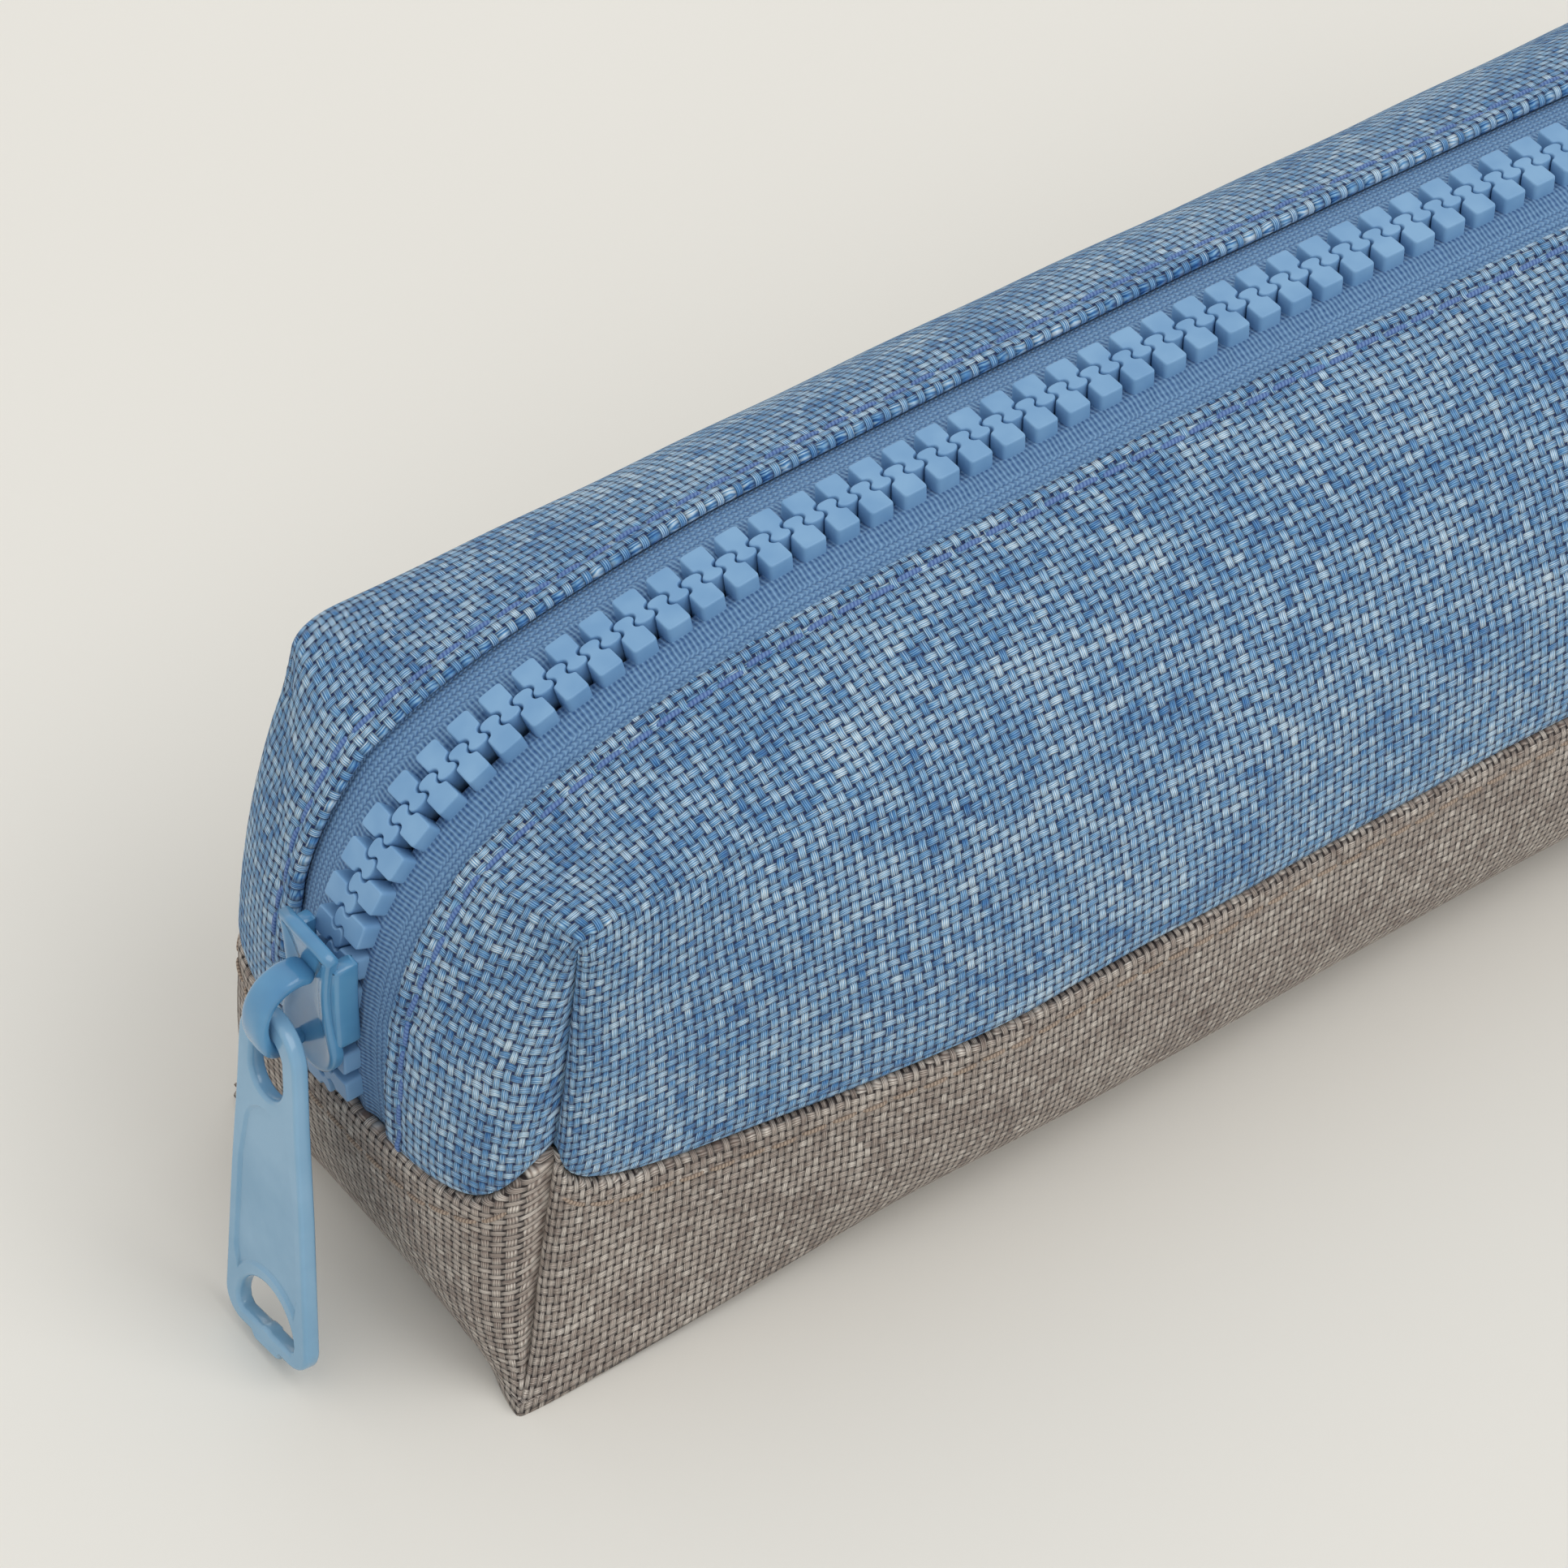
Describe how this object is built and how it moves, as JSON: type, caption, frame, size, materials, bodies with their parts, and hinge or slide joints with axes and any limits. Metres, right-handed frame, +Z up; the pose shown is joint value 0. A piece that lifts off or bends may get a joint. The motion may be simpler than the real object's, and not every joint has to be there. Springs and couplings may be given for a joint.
{
  "type": "pencil case",
  "caption": "Soft boxy pencil case in blue and grey woven fabric with a moulded zip over the top and both ends, a slider and a long pull tab.",
  "frame": {"origin": "on the resting surface, under the middle of the whole object's box", "axes": "+X along the length away from the slider end, +Y across to the left half, +Z up"},
  "size_m": [0.2164, 0.058, 0.0613],
  "materials": {
    "blue_fabric": "woven, matt",
    "grey_fabric": "woven, matt",
    "lining_fabric": "plain lining cloth, slight sheen",
    "binding_tape": "woven tape",
    "blue_thread": "sewing thread",
    "sand_thread": "sewing thread",
    "zip_tape": "knitted zip tape",
    "zip_plastic": "satin moulded plastic",
    "slider_paint": "gloss enamel on a zinc casting"
  },
  "bodies": {
    "base": {"base_panel": "grey_fabric", "base_lining": "lining_fabric", "base_topstitch": "sand_thread", "seam_binding": "binding_tape"},
    "right_wall": {"blue_panel_right": "blue_fabric", "lining_right": "lining_fabric", "zip_tape_right": "zip_tape", "zip_teeth_right": "zip_plastic", "topstitch_right": "blue_thread"},
    "left_wall": {"blue_panel_left": "blue_fabric", "lining_left": "lining_fabric", "zip_tape_left": "zip_tape", "zip_teeth_left": "zip_plastic", "topstitch_left": "blue_thread"},
    "slider": {"slider_body": "slider_paint"},
    "pull": {"pull_tab": "slider_paint"}
  },
  "joints": [
    {"name": "right_wall_open", "type": "hinge", "parent": "base", "child": "right_wall", "pos_m": [0, -0.0296, 0.0218], "axis": [1, 0, 0], "range_deg": [0, 25]},
    {"name": "left_wall_open", "type": "hinge", "parent": "base", "child": "left_wall", "pos_m": [0, 0.0296, 0.0218], "axis": [-1, 0, 0], "range_deg": [0, 25]},
    {"name": "slider_travel", "type": "hinge", "parent": "right_wall", "child": "slider", "pos_m": [-0.08188, 0, 0.0346], "axis": [0, 1, 0], "range_deg": [0, 60], "deforming": ["zip_teeth_right", "zip_teeth_left"]},
    {"name": "pull_swing", "type": "hinge", "parent": "slider", "child": "pull", "pos_m": [-0.10538, 0, 0.03325], "axis": [0, 1, 0], "range_deg": [0, 120]}
  ]
}
